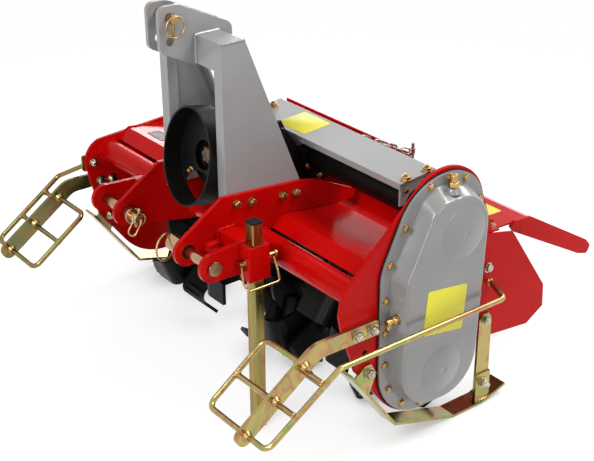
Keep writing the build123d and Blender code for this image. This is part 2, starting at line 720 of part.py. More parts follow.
LINK_PITCH = 20.0
CHAIN_FROM = (HITCH_X, *CHAIN_LUG)
CHAIN_TO = (HITCH_X + 34, 684.0, 14.0)
chain_run = Vector(*CHAIN_TO) - Vector(*CHAIN_FROM)
links = int(chain_run.length // LINK_PITCH)
with BuildPart() as support_chain:
    for i in range(links):
        middle = Vector(*CHAIN_FROM) + chain_run * ((i + 0.6) / links)
        flat = Plane(origin=at(*middle), x_dir=chain_run, z_dir=(1, 0, 0) if i % 2 else (0, 0.44, 0.9))
        with BuildSketch(flat.offset(-2.5)):
            SlotOverall(LINK_PITCH + 9, 18)
            SlotOverall(LINK_PITCH - 2, 8, mode=Mode.SUBTRACT)
        extrude(amount=5)

PIECES = {
    "front_tube": front_tube, "hood": hood,
    "side_plate_right": side_plate_right, "side_plate_left": side_plate_left,
    "hitch_arm_right": hitch_arms["right"], "hitch_arm_left": hitch_arms["left"],
    "mast_upright_right": uprights["right"], "mast_upright_left": uprights["left"],
    "mast_head": mast_head, "top_link_pin": top_link_pin,
    "hitch_pin_right": hitch_pins["right"], "hitch_pin_left": hitch_pins["left"],
    "gearbox": gearbox, "pto_shaft": pto_shaft, "pto_guard": pto_guard,
    "side_shaft_tube": side_shaft_tube, "top_cover": top_cover, "cover_bracket": cover_bracket,
    "chain_gasket": chain_gasket, "chain_cover": chain_cover, "rotor_bearing": rotor_bearing,
    "rotor": rotor, "tail_board": tail_board, "hinge_rod": hinge_rod,
    "wing_right": wing_right, "wing_left": wing_left,
    "skid_right": skids["right"], "skid_left": skids["left"],
    "guard_right": guards["right"], "guard_left": guards["left"],
    "stand_leg": stand_leg, "stand_cap": stand_cap, "stand_pin": stand_pin,
    "support_chain": support_chain,
}
os.makedirs("parts", exist_ok=True)
for name, piece in PIECES.items():
    piece.part.label = name
    export_step(piece.part, f"parts/{name}.step")
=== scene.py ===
import bpy, bmesh, json, math
from mathutils import Matrix, Vector


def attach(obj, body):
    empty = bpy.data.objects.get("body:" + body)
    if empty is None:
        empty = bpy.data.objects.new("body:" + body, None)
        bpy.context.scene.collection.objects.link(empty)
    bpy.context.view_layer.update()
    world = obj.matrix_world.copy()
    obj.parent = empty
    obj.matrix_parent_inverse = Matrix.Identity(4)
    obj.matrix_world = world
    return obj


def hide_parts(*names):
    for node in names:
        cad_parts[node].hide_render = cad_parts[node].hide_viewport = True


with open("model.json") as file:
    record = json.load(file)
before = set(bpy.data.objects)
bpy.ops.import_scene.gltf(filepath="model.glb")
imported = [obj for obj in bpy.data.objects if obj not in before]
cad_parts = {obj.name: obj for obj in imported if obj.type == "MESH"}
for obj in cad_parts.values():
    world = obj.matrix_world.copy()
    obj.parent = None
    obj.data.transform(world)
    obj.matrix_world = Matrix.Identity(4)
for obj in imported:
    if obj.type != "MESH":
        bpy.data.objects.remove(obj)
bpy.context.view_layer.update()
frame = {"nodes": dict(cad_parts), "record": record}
nodes = frame["nodes"]

# directions: the chain case is on the right, the tractor in front
RIGHT, REAR, UP = Vector((1, 0, 0)), Vector((0, 1, 0)), Vector((0, 0, 1))
FRONT = Vector((0, -1, 0))

# ------------------------------------------------------------------ materials

SOFT_EDGE = 0.0012      # how round painted edges shade, in metres
PEEL_SCALE = 420.0      # noise scale of the orange peel on paint
RIPPLE_SCALE = 70.0     # and of the waves in a plated face


def new_material(name):
    """An empty node material: (material, node tree, principled shader)."""
    mat = bpy.data.materials.new(name)
    mat.use_nodes = True
    tree = mat.node_tree
    tree.nodes.clear()
    out = tree.nodes.new("ShaderNodeOutputMaterial")
    bsdf = tree.nodes.new("ShaderNodeBsdfPrincipled")
    tree.links.new(bsdf.outputs[0], out.inputs[0])
    return mat, tree, bsdf


def coords(tree, scale=(1, 1, 1)):
    """Object coordinates, stretched by scale."""
    coord = tree.nodes.new("ShaderNodeTexCoord")
    mapping = tree.nodes.new("ShaderNodeMapping")
    mapping.inputs["Scale"].default_value = scale
    tree.links.new(coord.outputs["Object"], mapping.inputs["Vector"])
    return mapping.outputs[0]


def noise(tree, vector, scale, detail=4.0, rough=0.5, distortion=0.0):
    """Noise from 0 to 1; a larger scale is finer."""
    node = tree.nodes.new("ShaderNodeTexNoise")
    node.inputs["Scale"].default_value = scale
    node.inputs["Detail"].default_value = detail
    node.inputs["Roughness"].default_value = rough
    node.inputs["Distortion"].default_value = distortion
    tree.links.new(vector, node.inputs["Vector"])
    return node.outputs["Fac"]


def ramp(tree, factor, stops):
    """Colour ramp: stops are (position, (r, g, b))."""
    node = tree.nodes.new("ShaderNodeValToRGB")
    while len(node.color_ramp.elements) < len(stops):
        node.color_ramp.elements.new(0.5)
    for element, (position, colour) in zip(node.color_ramp.elements, stops):
        element.position = position
        element.color = (*colour, 1)
    tree.links.new(factor, node.inputs[0])
    return node.outputs[0]


def map_range(tree, value, from_range, to_range, kind="LINEAR"):
    """value mapped from one range to another, and held at the ends."""
    node = tree.nodes.new("ShaderNodeMapRange")
    node.interpolation_type = kind
    for name, number in zip(("From Min", "From Max", "To Min", "To Max"), (*from_range, *to_range)):
        node.inputs[name].default_value = number
    tree.links.new(value, node.inputs["Value"])
    return node.outputs[0]


def combine(tree, operation, first, second):
    """A math node over two sockets."""
    node = tree.nodes.new("ShaderNodeMath")
    node.operation = operation
    tree.links.new(first, node.inputs[0])
    tree.links.new(second, node.inputs[1])
    return node.outputs[0]


def bump(tree, bsdf, height, strength, distance, edge=0.0):
    """Fine relief, over softly rounded edges where edge is their radius in metres."""
    node = tree.nodes.new("ShaderNodeBump")
    node.inputs["Strength"].default_value = strength
    node.inputs["Distance"].default_value = distance
    tree.links.new(height, node.inputs["Height"])
    if edge:
        soft = tree.nodes.new("ShaderNodeBevel")
        soft.samples = 8
        soft.inputs["Radius"].default_value = edge
        tree.links.new(soft.outputs[0], node.inputs["Normal"])
    tree.links.new(node.outputs[0], bsdf.inputs["Normal"])


def paint(name, dark, mid, light, rough, coat, peel, shine, tint=(1, 1, 1)):
    """Sprayed enamel: slight tone changes and orange peel; shine and tint are the reflection's."""
    mat, tree, bsdf = new_material(name)
    vector = coords(tree)
    tone = noise(tree, vector, 5.0, 5.0, 0.6)
    wear = noise(tree, vector, 23.0, 6.0)
    tree.links.new(ramp(tree, tone, [(0.3, dark), (0.5, mid), (0.72, light)]), bsdf.inputs["Base Color"])
    tree.links.new(map_range(tree, wear, (0.3, 0.7), rough), bsdf.inputs["Roughness"])
    bsdf.inputs["Specular IOR Level"].default_value = shine
    bsdf.inputs["Specular Tint"].default_value = (*tint, 1)
    bsdf.inputs["Coat Weight"].default_value = coat
    bsdf.inputs["Coat Roughness"].default_value = 0.05
    bump(tree, bsdf, noise(tree, vector, PEEL_SCALE, 2.0), peel, 0.0006, SOFT_EDGE)
    return mat


def metal(name, stops, rough, scale=14.0, grain=(1, 1, 1), metallic=1.0):
    """Plated or bare metal: blotches in the stops' colours, drawn out where grain stretches them."""
    mat, tree, bsdf = new_material(name)
    vector = coords(tree, grain)
    tone = noise(tree, vector, scale, 1.6, 0.45, 1.0)
    wear = noise(tree, vector, scale * 5, 5.0)
    tree.links.new(ramp(tree, tone, stops), bsdf.inputs["Base Color"])
    tree.links.new(map_range(tree, wear, (0.3, 0.7), rough), bsdf.inputs["Roughness"])
    bsdf.inputs["Metallic"].default_value = metallic
    bump(tree, bsdf, noise(tree, vector, RIPPLE_SCALE, 2.0), 0.02, 0.0004)
    return mat


def tones(dark, mid, light):
    """Stops for a metal of three near colours."""
    return [(0.3, dark), (0.5, mid), (0.7, light)]


def toned(stops, *factors):
    """Stops with their red, green and blue multiplied."""
    return [(at, tuple(c * k for c, k in zip(colour, factors))) for at, colour in stops]


# yellow chromate over zinc runs from green through gold to brown
ZINC_TONES = [
    (0.24, (0.20, 0.25, 0.10)), (0.38, (0.33, 0.32, 0.10)), (0.47, (0.43, 0.32, 0.12)),
    (0.54, (0.36, 0.20, 0.10)), (0.60, (0.39, 0.29, 0.11)), (0.70, (0.24, 0.29, 0.14)),
    (0.80, (0.45, 0.37, 0.17)),
]
BROWN_ZINC_TONES = [
    (0.30, (0.26, 0.20, 0.07)), (0.45, (0.38, 0.25, 0.10)), (0.60, (0.44, 0.26, 0.12)),
    (0.74, (0.52, 0.40, 0.20)),
]
MATS = {
    "red_paint": paint(
        "red_enamel", (0.40, 0.0015, 0.0012), (0.445, 0.002, 0.0016), (0.49, 0.004, 0.003),
        rough=(0.2, 0.3), coat=0.05, peel=0.06, shine=0.10, tint=(1, 0.35, 0.3)),
    "grey_paint": paint(
        "grey_enamel", (0.245, 0.24, 0.24), (0.265, 0.262, 0.262), (0.285, 0.283, 0.283),
        rough=(0.28, 0.38), coat=0.2, peel=0.04, shine=0.45),
    "light_grey_paint": paint(
        "light_grey_enamel", (0.20, 0.198, 0.195), (0.222, 0.219, 0.215), (0.245, 0.24, 0.235),
        rough=(0.16, 0.26), coat=0.35, peel=0.04, shine=0.5),
    "black_paint": paint(
        "black_enamel", (0.0024, 0.0022, 0.002), (0.0036, 0.0033, 0.003), (0.006, 0.0054, 0.005),
        rough=(0.3, 0.44), coat=0.03, peel=0.12, shine=0.10),
    "black_plastic": paint(
        "black_moulding", (0.003, 0.0028, 0.0026), (0.005, 0.0046, 0.0042), (0.008, 0.0076, 0.007),
        rough=(0.36, 0.5), coat=0.0, peel=0.3, shine=0.14),
    "gasket": paint(
        "black_sealant", (0.003, 0.003, 0.003), (0.005, 0.005, 0.005), (0.008, 0.008, 0.008),
        rough=(0.55, 0.7), coat=0.0, peel=0.4, shine=0.12),
    "zinc_plate": metal("yellow_zinc", ZINC_TONES, (0.16, 0.26), 11.0, metallic=0.94),
    # bare steel, its colours darkened for the shade round the drive shaft inside its guard: painted shade
    "bare_steel": metal(
        "steel_darkened_for_shade",
        [(0.3, (0.11, 0.085, 0.07)), (0.55, (0.24, 0.15, 0.10)), (0.75, (0.16, 0.10, 0.07))],
        (0.3, 0.5)),
}
# weld beads: lighter grey than the paint round them, a painted highlight on the beads
HIGHLIT_WELD_GREY = paint(
    "grey_weld_enamel_lightened_for_highlights", (0.24, 0.238, 0.235), (0.28, 0.278, 0.275), (0.32, 0.317, 0.315),
    rough=(0.14, 0.24), coat=0.3, peel=0.1, shine=0.6)
COVER_GREY = paint(
    "cover_enamel", (0.27, 0.267, 0.265), (0.275, 0.272, 0.27), (0.28, 0.277, 0.275),
    rough=(0.28, 0.32), coat=0.1, peel=0.0, shine=0.45)
STICKER = paint(
    "blank_yellow_sticker", (0.62, 0.56, 0.05), (0.68, 0.62, 0.06), (0.72, 0.66, 0.09),
    rough=(0.45, 0.55), coat=0.0, peel=0.03, shine=0.2)
BRASS = metal(
    "brass_fitting", tones((0.30, 0.17, 0.05), (0.45, 0.28, 0.10), (0.55, 0.37, 0.16)), (0.2, 0.36), 30.0)
BOLT_ZINC = metal("yellow_zinc_fastener", BROWN_ZINC_TONES, (0.2, 0.34), 60.0)
PALE_ZINC = metal(
    "pale_zinc", tones((0.28, 0.25, 0.17), (0.41, 0.37, 0.28), (0.52, 0.48, 0.38)), (0.16, 0.26), 50.0)
PIN_ZINC = metal(
    "brown_zinc", tones((0.28, 0.15, 0.08), (0.40, 0.24, 0.13), (0.50, 0.33, 0.19)), (0.16, 0.22), 16.0)
CHAIN_ZINC = metal(
    "dull_zinc", tones((0.20, 0.19, 0.18), (0.32, 0.30, 0.28), (0.42, 0.38, 0.33)), (0.25, 0.4), 40.0)
LEG_ZINC = metal(
    "streaked_zinc", toned(ZINC_TONES, 0.84, 0.86, 0.66), (0.2, 0.36), 12.0, grain=(3.4, 3.4, 0.35))
# yellow zinc darkened for the left guard's darker reflections: painted shade
SHADED_ZINC = metal("zinc_darkened_for_shade", toned(ZINC_TONES, 0.66, 0.62, 0.6), (0.14, 0.24), 10.0, metallic=0.94)

# CAD nodes whose finish differs a little from the rest of their slot
NODE_MATS = {
    "top_cover": COVER_GREY,
    "hitch_pin_right": PIN_ZINC,
    "hitch_pin_left": PIN_ZINC,
    "top_link_pin": PIN_ZINC,
    "stand_leg": LEG_ZINC,
    "stand_pin": BOLT_ZINC,
    # left guard: darker zinc as painted shade
    "guard_left": SHADED_ZINC,
}
for sub in frame["record"]["subparts"]:
    node = nodes[sub["node"]]
    node.data.materials.clear()
    node.data.materials.append(NODE_MATS.get(sub["node"], MATS[sub["material_slot"]]))

# ------------------------------------------------------------------ mesh tools

HITCH_MM = Vector((0, -394.5, 405.0))       # lower hitch pins' axis
SHARP = math.radians(38)                    # edges sharper than this stay hard
ACROSS_FLATS = {6: 10, 8: 13, 10: 16, 12: 18}       # of a metric bolt's head


def point(x, y, z):
    """Millimetres to the frame's metres: x from the machine's middle, y and z from the lower hitch pins."""
    return (Vector((x, y, z)) + HITCH_MM) / 1000


def aim(origin, axis, spin=0.0):
    """Matrix with local z along axis."""
    turn = Vector(axis).to_track_quat("Z", "Y").to_matrix().to_4x4()
    return Matrix.Translation(origin) @ turn @ Matrix.Rotation(spin, 4, "Z")


def skin(bm, rings, loop=False):
    """Quads between rings of vertices; the ends are closed, or joined in a loop."""
    for a, b in zip(rings, rings[1:] + rings[:1] if loop else rings[1:]):
        if len(a) == 1 or len(b) == 1:
            tip, ring = (a, b) if len(a) == 1 else (b, a)
            for i in range(len(ring)):
                bm.faces.new((tip[0], ring[i], ring[(i + 1) % len(ring)]))
        else:
            for i in range(len(a)):
                j = (i + 1) % len(a)
                bm.faces.new((a[i], a[j], b[j], b[i]))
    if not loop:
        for ring in (rings[0], rings[-1]):
            if len(ring) > 2:
                bm.faces.new(ring)


def lathe(bm, profile, matrix, sides=24):
    """Turned form: profile is (radius, height) in mm along local z."""
    rings = []
    for radius, height in profile:
        count = 1 if radius == 0 else sides
        rings.append([
            bm.verts.new(matrix @ (Vector((radius * math.cos(a), radius * math.sin(a), height)) / 1000))
            for a in (math.tau * i / sides for i in range(count))
        ])
    skin(bm, rings)


def prism(bm, outline, low, high, matrix, edge=0.0):
    """Extruded outline of (x, y) in mm from low to high along local z, with a small chamfer on top."""
    cx = sum(x for x, y in outline) / len(outline)
    cy = sum(y for x, y in outline) / len(outline)

    def ring(height, inset):
        """The outline at a height, drawn in towards its middle."""
        verts = []
        for x, y in outline:
            reach = math.hypot(x - cx, y - cy) or 1
            k = 1 - inset / reach
            place = Vector((cx + (x - cx) * k, cy + (y - cy) * k, height)) / 1000
            verts.append(bm.verts.new(matrix @ place))
        return verts

    rings = [ring(low, 0), ring(high - edge, 0)]
    if edge:
        rings.append(ring(high, edge))
    skin(bm, rings)


def sweep(bm, path, radius, loop=False, sides=12, ripple=0.0):
    """Round bar of that radius in mm along points in metres; ripple is a weld's unevenness."""
    count = len(path)
    rings = []
    normal = None
    for i, here in enumerate(path):
        if loop:
            along = path[(i + 1) % count] - path[i - 1]
        else:
            along = path[min(i + 1, count - 1)] - path[max(i - 1, 0)]
        along.normalize()
        if normal is None:
            normal = along.orthogonal().normalized()
        else:
            normal = (normal - along * normal.dot(along)).normalized()
        side = along.cross(normal)
        r = radius / 1000 * (1 + ripple * math.sin(i * 2.4) + ripple * 0.5 * math.sin(i * 5.1 + 1))
        rings.append([bm.verts.new(here + (normal * math.cos(a) + side * math.sin(a)) * r)
                      for a in (math.tau * k / sides for k in range(sides))])
    skin(bm, rings, loop)


def arc(centre, u, v, radius, start=0.0, turn=math.tau, steps=36):
    """Points on an arc from u towards v, its radius in mm; a whole turn doesn't repeat its first point."""
    u, v = Vector(u).normalized(), Vector(v).normalized()
    count = steps if turn == math.tau else steps + 1
    angles = [start + turn * k / steps for k in range(count)]
    return [centre + (u * math.cos(a) + v * math.sin(a)) * radius / 1000 for a in angles]


def wire_ring(bm, centre, u, v, radius, wire, steps):
    """Round ring in the plane of u and v; wire is the wire's radius."""
    sweep(bm, arc(centre, u, v, radius, steps=steps), wire, loop=True, sides=10)


def link(bm, centre, along, across, half, bend, wire, steps):
    """Oval link with ends of radius bend, whose centres lie half mm each way along it."""
    path = []
    for end in (1, -1):
        middle = centre + along * (end * half / 1000)
        path += arc(middle, along, across, bend, -end * math.pi / 2, math.pi, steps)
    sweep(bm, path, wire, loop=True, sides=10)


def weld(bm, corners, radius=3.0, step=2.6):
    """Weld bead along straight runs between corners in metres."""
    path = []
    for a, b in zip(corners, corners[1:]):
        count = max(2, int((b - a).length * 1000 / step))
        path += [a + (b - a) * k / count for k in range(count)]
    path.append(corners[-1])
    sweep(bm, path, radius, sides=8, ripple=0.16)


def collar_weld(bm, centre, reach, steps, radius, step):
    """Bead all round a bar that runs crosswise, reach mm from the bar's middle."""
    corners = arc(centre, REAR, UP, reach, steps=steps)
    weld(bm, corners + corners[:1], radius, step)


def hexagon(bm, matrix, across, low, height):
    """Hexagon with chamfered corners on top; across is between flats."""
    flat, corner = across / 2, across / math.sqrt(3)
    rings = []
    # share of the height, widest reach there
    for share, cap in ((0, corner), (0.84, corner), (0.93, flat * 1.06), (1, flat * 0.94)):
        verts = []
        for i in range(24):
            a = math.tau * i / 24
            reach = min(cap, flat / math.cos((a + math.pi / 6) % (math.pi / 3) - math.pi / 6))
            place = Vector((reach * math.cos(a), reach * math.sin(a), low + height * share)) / 1000
            verts.append(bm.verts.new(matrix @ place))
        rings.append(verts)
    skin(bm, rings)


def bolt(bm, origin, axis, size, washer=True, stud=0.0, spin=0.0):
    """Hex head or nut of a metric size seated at origin; stud is the thread's length beyond a nut."""
    across = ACROSS_FLATS[size]
    matrix = aim(origin, axis, spin)
    seat = 0.0
    if washer:
        rim = across * 0.72
        profile = [(0, -0.3), (rim, -0.3), (rim + 0.3, 0.5), (rim, 1.8), (rim * 0.8, 2.0), (0, 2.0)]
        lathe(bm, profile, matrix, 28)
        seat = 1.9
    hexagon(bm, matrix, across, seat, size * 0.66)
    top = seat + size * 0.66
    if stud:
        crest, root, pitch = size * 0.5, size * 0.44, 1.4
        profile = [(0, top - 1), (crest, top - 1)]
        z = top
        while z < top + stud:
            profile += [(crest, z), (root, z + pitch / 2)]
            z += pitch
        lathe(bm, profile + [(size * 0.4, top + stud + 0.6), (0, top + stud + 0.6)], matrix, 16)
    else:
        crown = [(across * 0.30, top - 0.5), (across * 0.28, top + 0.35)]
        lathe(bm, [(0, top - 0.5)] + crown + [(0, top + 0.5)], matrix, 20)


def piece(name, bm, body, slot, mat=None):
    """Finishes a mesh piece: normals, shading, body and material, the slot's own unless mat is given."""
    bmesh.ops.recalc_face_normals(bm, faces=bm.faces[:])
    mesh = bpy.data.meshes.new(name)
    for edge in bm.edges:
        edge.smooth = len(edge.link_faces) == 2 and edge.calc_face_angle(0) < SHARP
    for face in bm.faces:
        face.smooth = True
    bm.to_mesh(mesh)
    bm.free()
    obj = bpy.data.objects.new(name, mesh)
    bpy.context.scene.collection.objects.link(obj)
    mesh.materials.append(mat or MATS[slot])
    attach(obj, body)
    return obj


# ------------------------------------------------------------------ sizes of the solids

HITCH_X = 36.0          # middle of the three-point hitch, from the machine's middle
ARM_IN = 116.0          # inner hitch plates' inner faces, from the hitch's middle
ARM_FACE = 126.0        # and their outer faces
MAST_T = 6.0            # mast uprights, inside the hitch plates
MAST_TOP = 415.0
EAR_FACE = 26.0         # top-link ears' outer faces, from the hitch's middle
TOP_HOLE = (45, 460)    # y and z of the upper top-link hole
PIN_HEAD = 225.0        # lower hitch pins' outer ends, from the hitch's middle
SIDE_OUT = 490.0        # side plates' outer faces, each way from the machine's middle
SIDE_T = 8.0
WING_T = 4.0
SKID_T = 6.0
BAR_T = 8.0             # guards' flat bars
TAB_T = 6.0             # tab of the left guard's rod
ROD_IN, ROD_OUT = 368.0, 560.0      # guards' rods, from the machine's middle
TUBE, TUBE_R = (188, -33), 28.0     # y and z of the front cross tube, its radius
ROTOR = (358, -215)     # y and z of the rotor's axis
SHAFT = (398, 88)       # of the side shaft
GUARD_AT = (85, 147)    # and of the middle of the input guard's rim
CASE_RIM = 498.0        # chain case: x of its flange's face
CASE_FACE = 536.0       # and of its raised face
BEARING_T = 14.0
DECK = ((243, 14), (395, -3))           # slope of the hood's deck: y and z of two points
COVER_TOP = ((345.5, 144), (443, 152))  # of the top cover
BOARD = ((602, -16), (695, -20))        # and of the tail board
SLEEVE = (67, 117)      # y of the stand sleeve's front and rear
STAND_PIN = (HITCH_X + 230, -6)         # x and z of the stand's cross pin


def height_at(y, slope):
    """z at y on the straight line through a slope's two points."""
    (y0, z0), (y1, z1) = slope
    return z0 + (y - y0) * (z1 - z0) / (y1 - y0)


def round_point(x, axis, radius, angle):
    """Point round a crosswise axis, in metres."""
    return point(x, axis[0] + radius * math.cos(angle), axis[1] + radius * math.sin(angle))


def side_bolt(bm, toward, out, y, z, size, **look):
    """Bolt seated out mm beyond a side plate's outer face; where out is negative, it faces inwards."""
    facing = toward if out > 0 else -toward
    bolt(bm, point(toward * (SIDE_OUT + out), y, z), (facing, 0, 0), size, **look)


# ------------------------------------------------------------------ fasteners

CASE_BOLTS = [
    (352, 166), (446, 160), (289, 94), (250, 25), (242, -51), (241, -125), (242, -200), (255, -262),
    (293, -312), (345, -331), (402, 172), (489, 104), (490, 20), (485, -60), (480, -140), (474, -222),
    (450, -290), (400, -329),
]
bm = bmesh.new()
for i, (y, z) in enumerate(CASE_BOLTS):
    seat = point(CASE_RIM, y, z)
    bolt(bm, seat, RIGHT, 8, washer=False, spin=i * 0.7)
    lathe(bm, [(0, -0.2), (8.6, -0.2), (8.8, 0.6), (8.0, 1.3), (0, 1.3)], aim(seat, RIGHT))
piece("chain_case_bolts", bm, "frame", "zinc_plate", BOLT_ZINC)

# heads outside the hitch plates, nuts inside the mast
bm = bmesh.new()
for i, (y, z) in enumerate([(123, 72), (161, 66), (242, 57), (278, 54)]):
    for toward, head_turn, nut_turn in ((1, 0.9, 0.3), (-1, 0.5, 0.4)):
        bolt(bm, point(HITCH_X + toward * ARM_FACE, y, z), (toward, 0, 0), 10, spin=i * head_turn)
        inside = point(HITCH_X + toward * (ARM_IN - MAST_T), y, z)
        bolt(bm, inside, (-toward, 0, 0), 10, stud=5, spin=i * nut_turn)
piece("mast_bolts", bm, "frame", "zinc_plate", BOLT_ZINC)

bm = bmesh.new()
# guards: a nut outside the bar and a head inside the side plate
for toward, places in ((1, [(171, -104), (210, -105)]), (-1, [(154, -106), (187, -110)])):
    for i, (y, z) in enumerate(places):
        side_bolt(bm, toward, BAR_T, y, z, 12, stud=5, spin=i + 0.4)
        side_bolt(bm, toward, -SIDE_T, y, z, 12, spin=i * 0.6)
# tab of the left guard's rod
side_bolt(bm, -1, TAB_T, 134, -54, 10, spin=0.2)
side_bolt(bm, -1, -SIDE_T, 137, -53, 10, stud=3, spin=0.7)
# skids: tab in front, strap behind; the last bolt holds the wing
for toward, front_y in ((1, 205), (-1, 175)):
    side_bolt(bm, toward, SKID_T, front_y, -206, 12, stud=3, spin=0.3)
    side_bolt(bm, toward, -SIDE_T, front_y, -207, 12, spin=0.5)
    side_bolt(bm, toward, WING_T + SKID_T, 529, -196, 10, stud=3, spin=0.2)
    side_bolt(bm, toward, WING_T + SKID_T + 4, 529, -352, 12, stud=8, spin=0.9)
    side_bolt(bm, toward, WING_T, 532, -72, 10, spin=0.1)
piece("guard_and_skid_bolts", bm, "frame", "zinc_plate", PALE_ZINC)

# strap on each side plate's rear edge
bm = bmesh.new()
strap = [(-7, -30), (7, -30), (7, 30), (4, 34), (-4, 34), (-7, 30)]
for toward in (1, -1):
    prism(bm, strap, -2, 3.5, aim(point(toward * SIDE_OUT, 535, -28), (toward, 0, 0)), 0.6)
piece("side_plate_straps", bm, "frame", "zinc_plate", BOLT_ZINC)

# bolts on the top cover, and two small ones on its end bracket
COVER_OUT = Vector((0, -0.08, 1))
BRACKET_X = HITCH_X + 377.0
bm = bmesh.new()
for i, (x, y) in enumerate([(-123, 405), (373, 368), (373, 425), (-123, 362)]):
    seat = point(HITCH_X + x, y, height_at(y, COVER_TOP))
    bolt(bm, seat, COVER_OUT, 10, spin=i)
    lathe(bm, [(0, 7), (5, 7), (5, 12), (4.2, 12.6), (0, 12.6)], aim(seat, COVER_OUT), 16)
for y in (364, 420):
    bolt(bm, point(BRACKET_X, y, 124), RIGHT, 6, washer=False)
piece("cover_bolts", bm, "frame", "zinc_plate", BOLT_ZINC)

# rotor bearing on the left
bm = bmesh.new()
for k in range(4):
    a = math.radians(45 + 90 * k)
    bolt(bm, round_point(-SIDE_OUT - BEARING_T, ROTOR, 47, a), (-1, 0, 0), 10, spin=a)
piece("bearing_bolts", bm, "frame", "zinc_plate", BOLT_ZINC)

bm = bmesh.new()
# gearbox foot
for x in (-64, 62):
    for y in (268, 320, 372):
        bolt(bm, point(HITCH_X + x, y, 30), UP, 10, spin=x + y)
# deck beside it, and the front edge
for x in (-96, 96):
    bolt(bm, point(HITCH_X + x, 262, 13.5), (0, 0.1, 1), 12, stud=9)
bolt(bm, point(HITCH_X - 128, 172, -9), (0, -0.3, 0.95), 8, stud=12)
piece("deck_bolts", bm, "frame", "zinc_plate", BOLT_ZINC)

# ------------------------------------------------------------------ gearbox

GEAR_FRONT = 100.0      # gearbox's front face, depth behind the guard's rim
GUARD_BACK = 44.0       # and the guard's back plate
BOSS_R = 36.2           # round the gearbox's front boss
GEAR_TILT = math.atan2(GUARD_AT[1] - SHAFT[1], SHAFT[0] - GUARD_AT[0])
GEAR_OUT = Vector((0, -math.cos(GEAR_TILT), math.sin(GEAR_TILT)))
GEAR_UP = Vector((0, math.sin(GEAR_TILT), math.cos(GEAR_TILT)))


def gear_point(depth, across=0.0, rise=0.0):
    """Point behind the input guard's rim, across and above the input axis, in metres."""
    return point(HITCH_X, *GUARD_AT) + (-GEAR_OUT * depth + RIGHT * across + GEAR_UP * rise) / 1000


bm = bmesh.new()
for k in range(6):
    a = math.radians(30 + 60 * k)
    seat = gear_point(GEAR_FRONT, 46 * math.cos(a) - 2, 46 * math.sin(a) - 8)
    bolt(bm, seat, GEAR_OUT, 8, washer=False, spin=a)
# grease nipple low on the guard's back
nipple = [(0, 0), (6.5, 0), (6.5, 4), (4, 5), (4, 9), (5, 11), (3.6, 14), (0, 15)]
lathe(bm, nipple, aim(gear_point(GUARD_BACK, -36, -41), GEAR_OUT + Vector((0.3, 0, -0.3))), 20)
# flanges of the side shaft
for toward, x, radius in ((1, 66, 44), (-1, -72, 39)):
    for k in range(6):
        a = math.radians(60 * k + 15)
        bolt(bm, round_point(HITCH_X + x, SHAFT, radius, a), (toward, 0, 0), 8, washer=False, spin=a)
piece("gearbox_bolts", bm, "frame", "zinc_plate", BOLT_ZINC)

bm = bmesh.new()
# ribs on top: the outline's x and y are the machine's y and z
crosswise = Matrix(((0, 0, 1, 0), (1, 0, 0, 0), (0, 1, 0, 0), (0, 0, 0, 1)))
rib = [(196, 177), (296, 177), (322, 150), (306, 186), (206, 186)]
for x in (-40, 0, 36):
    prism(bm, rib, x - 4, x + 4, Matrix.Translation(point(HITCH_X, 0, 0)) @ crosswise, 1.0)
breather = [(0, 0), (15, 0), (15, 4), (10, 6), (10, 13), (8, 16), (0, 16)]
lathe(bm, breather, aim(point(HITCH_X - 20, 262, 176), UP))
# ring round the front boss
ring = [(BOSS_R, 0), (44, 0), (44, 3), (42, 4), (BOSS_R, 4)]
lathe(bm, ring, aim(gear_point(GEAR_FRONT), GEAR_OUT), 48)
# input neck round the shaft, up to just behind the guard's back
neck = [(20, 0), (76, 0), (74, 10), (70, 38), (64, 43), (30, 43), (28, 40), (20, 40)]
lathe(bm, neck, aim(gear_point(GEAR_FRONT + 2), GEAR_OUT), 56)
piece("gearbox_casting", bm, "frame", "black_paint")

# ------------------------------------------------------------------ chain case fittings

FILLER = Vector((516, 396, 148))        # foot of the oil filler's boss on top of the case
LEVEL = Vector((514, 262, -91))         # foot of the level plug on its front

bm = bmesh.new()
lathe(bm, [(0, 0), (9, 0), (9, 10), (10, 12), (0, 12)], aim(point(*(FILLER + 2 * UP)), UP), 28)
cap_at = point(*(FILLER + 14 * UP))
hexagon(bm, aim(cap_at, UP, 0.2), 20, 0, 9)
lathe(bm, [(0, 9), (8, 9), (8.6, 10), (8.6, 22), (7.4, 25), (3, 26), (0, 26)], aim(cap_at, UP), 28)
level_out = aim(point(*LEVEL), FRONT)
lathe(bm, [(0, 0), (10.5, 0), (10.5, 4), (8, 5), (8, 8), (0, 8)], level_out, 28)
hexagon(bm, level_out, 17, 8, 7)
lathe(bm, [(0, 15), (6, 15), (6, 21), (7.6, 22), (7.6, 29), (6, 31), (0, 31)], level_out)
# small stub beside it
lathe(bm, [(0, 0), (5, 0), (5, 9), (0, 9)], aim(point(506, 238, -104), RIGHT), 20)
piece("oil_plugs", bm, "frame", "zinc_plate", BRASS)

bm = bmesh.new()
lathe(bm, [(0, 0), (16, 0), (14.5, 7), (11, 11), (0, 11)], aim(point(*FILLER), UP), 32)
lathe(bm, [(0, -8), (15, -8), (14, 0), (12, 2), (0, 2)], level_out, 32)
piece("chain_case_bosses", bm, "frame", "light_grey_paint")

# cones pressed out of the case's face, with their rolled feet and flat tips
bm = bmesh.new()
for y, z, radius in ((412, 62, 56), (366, -237, 52)):
    foot = [(0, -0.4), (radius + 3, -0.4), (radius + 2, 0.2), (radius - 1, 0.8), (radius - 4, 1.8)]
    tip = [(12, 8.8), (9, 9.0), (8, 8.2), (0, 8.0)]
    lathe(bm, foot + tip, aim(point(CASE_FACE, y, z), RIGHT), 72)
piece("pressed_cones", bm, "frame", "light_grey_paint")

# ------------------------------------------------------------------ blank stickers and a blank plate


